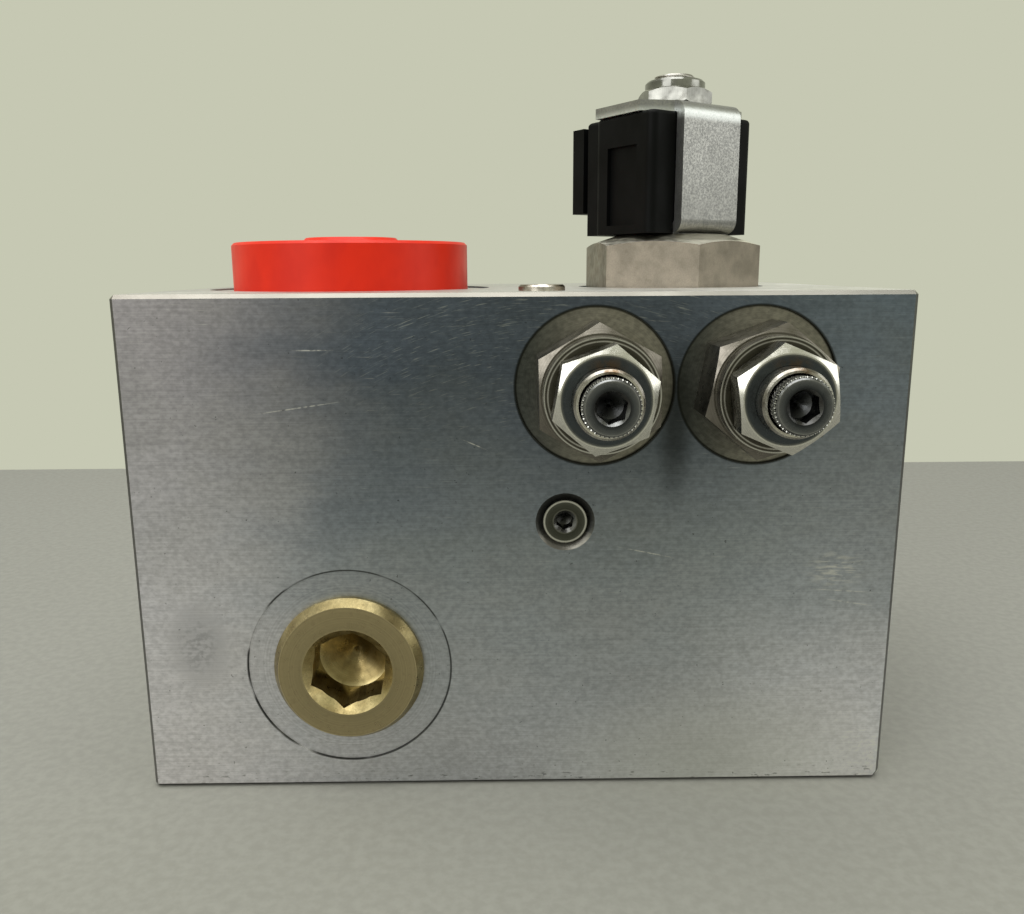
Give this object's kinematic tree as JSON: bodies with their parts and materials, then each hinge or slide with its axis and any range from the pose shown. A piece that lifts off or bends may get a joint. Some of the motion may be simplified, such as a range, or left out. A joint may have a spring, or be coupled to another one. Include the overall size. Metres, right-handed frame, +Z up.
{
  "type": "hydraulic manifold block",
  "caption": "Aluminium hydraulic manifold block with two adjustable relief valves, a solenoid cartridge valve, a gold port plug and a red port cap.",
  "frame": {"origin": "middle of the block's base, on the resting face", "axes": "+X along the front face to the right, +Y to the rear, +Z up; the relief valves stand out along -Y"},
  "size_m": [0.1548, 0.1292, 0.1493],
  "materials": {
    "block_aluminium": "brushed",
    "gold_plating": "turned",
    "red_plastic": "smooth",
    "plated_steel": "satin",
    "bright_steel": "turned",
    "chrome_plating": "polished",
    "spring_steel": "satin",
    "galvanised_steel": "speckled",
    "black_plastic": "moulded",
    "copper_winding": "enamelled",
    "tinned_brass": "bright",
    "seal_rubber": "matt"
  },
  "bodies": {
    "valve_block": {"cartridge_body": "plated_steel", "cartridge_oring": "seal_rubber", "coil_bobbin": "black_plastic", "coil_body": "black_plastic", "coil_frame": "galvanised_steel", "coil_nut": "chrome_plating", "coil_terminals": "tinned_brass", "coil_winding": "copper_winding", "core_tube": "bright_steel", "gauge_plug": "plated_steel", "gauge_plug_oring": "seal_rubber", "left_body_oring": "seal_rubber", "left_cage": "plated_steel", "left_cage_oring": "seal_rubber", "left_lock_nut": "bright_steel", "left_spring": "spring_steel", "left_stem": "bright_steel", "left_valve_body": "plated_steel", "lower_plug": "plated_steel", "manifold_block": "block_aluminium", "plunger_spring": "spring_steel", "pole_piece": "bright_steel", "port_cap": "red_plastic", "port_plug": "gold_plating", "port_plug_oring": "seal_rubber", "pressure_plug": "plated_steel", "return_plug": "plated_steel", "right_body_oring": "seal_rubber", "right_cage": "plated_steel", "right_cage_oring": "seal_rubber", "right_lock_nut": "bright_steel", "right_spring": "spring_steel", "right_stem": "bright_steel", "right_valve_body": "plated_steel", "side_plug_orings": "seal_rubber", "top_gallery_plug": "plated_steel", "valve_cage": "plated_steel", "valve_cage_orings": "seal_rubber"},
    "left_setting": {"left_spring_seat": "bright_steel"},
    "left_screw": {"left_adjusting_screw": "bright_steel"},
    "left_relief_poppet": {"left_poppet": "bright_steel"},
    "right_setting": {"right_spring_seat": "bright_steel"},
    "right_screw": {"right_adjusting_screw": "bright_steel"},
    "right_relief_poppet": {"right_poppet": "bright_steel"},
    "armature": {"plunger": "bright_steel", "spool": "bright_steel"}
  },
  "joints": [
    {"name": "left_setting_slide", "type": "slide", "parent": "valve_block", "child": "left_setting", "axis": [0, 1, 0], "range_m": [-0.00191, 0.00445], "deforming": ["left_spring"]},
    {"name": "left_screw_turn", "type": "hinge", "parent": "left_setting", "child": "left_screw", "pos_m": [0.015, -0.07, 0.0837], "axis": [0, 1, 0], "range_deg": [-540, 1260]},
    {"name": "left_poppet_lift", "type": "slide", "parent": "valve_block", "child": "left_relief_poppet", "axis": [0, -1, 0], "range_m": [0, 0.0015], "stiffness_N_per_m": 20000, "springref_m": -0.001, "deforming": ["left_spring"]},
    {"name": "right_setting_slide", "type": "slide", "parent": "valve_block", "child": "right_setting", "axis": [0, 1, 0], "range_m": [-0.00191, 0.00445], "deforming": ["right_spring"]},
    {"name": "right_screw_turn", "type": "hinge", "parent": "right_setting", "child": "right_screw", "pos_m": [0.0463, -0.07, 0.0837], "axis": [0, 1, 0], "range_deg": [-540, 1260]},
    {"name": "right_poppet_lift", "type": "slide", "parent": "valve_block", "child": "right_relief_poppet", "axis": [0, -1, 0], "range_m": [0, 0.0015], "stiffness_N_per_m": 20000, "springref_m": -0.001, "deforming": ["right_spring"]},
    {"name": "armature_lift", "type": "slide", "parent": "valve_block", "child": "armature", "axis": [0, 0, 1], "range_m": [0, 0.0025], "stiffness_N_per_m": 500, "springref_m": -0.004, "deforming": ["plunger_spring"]}
  ],
  "couplings": [
    {"joint": "left_screw_turn", "follows": "left_setting_slide", "rad_per_m": 4947.4},
    {"joint": "right_screw_turn", "follows": "right_setting_slide", "rad_per_m": 4947.4}
  ]
}
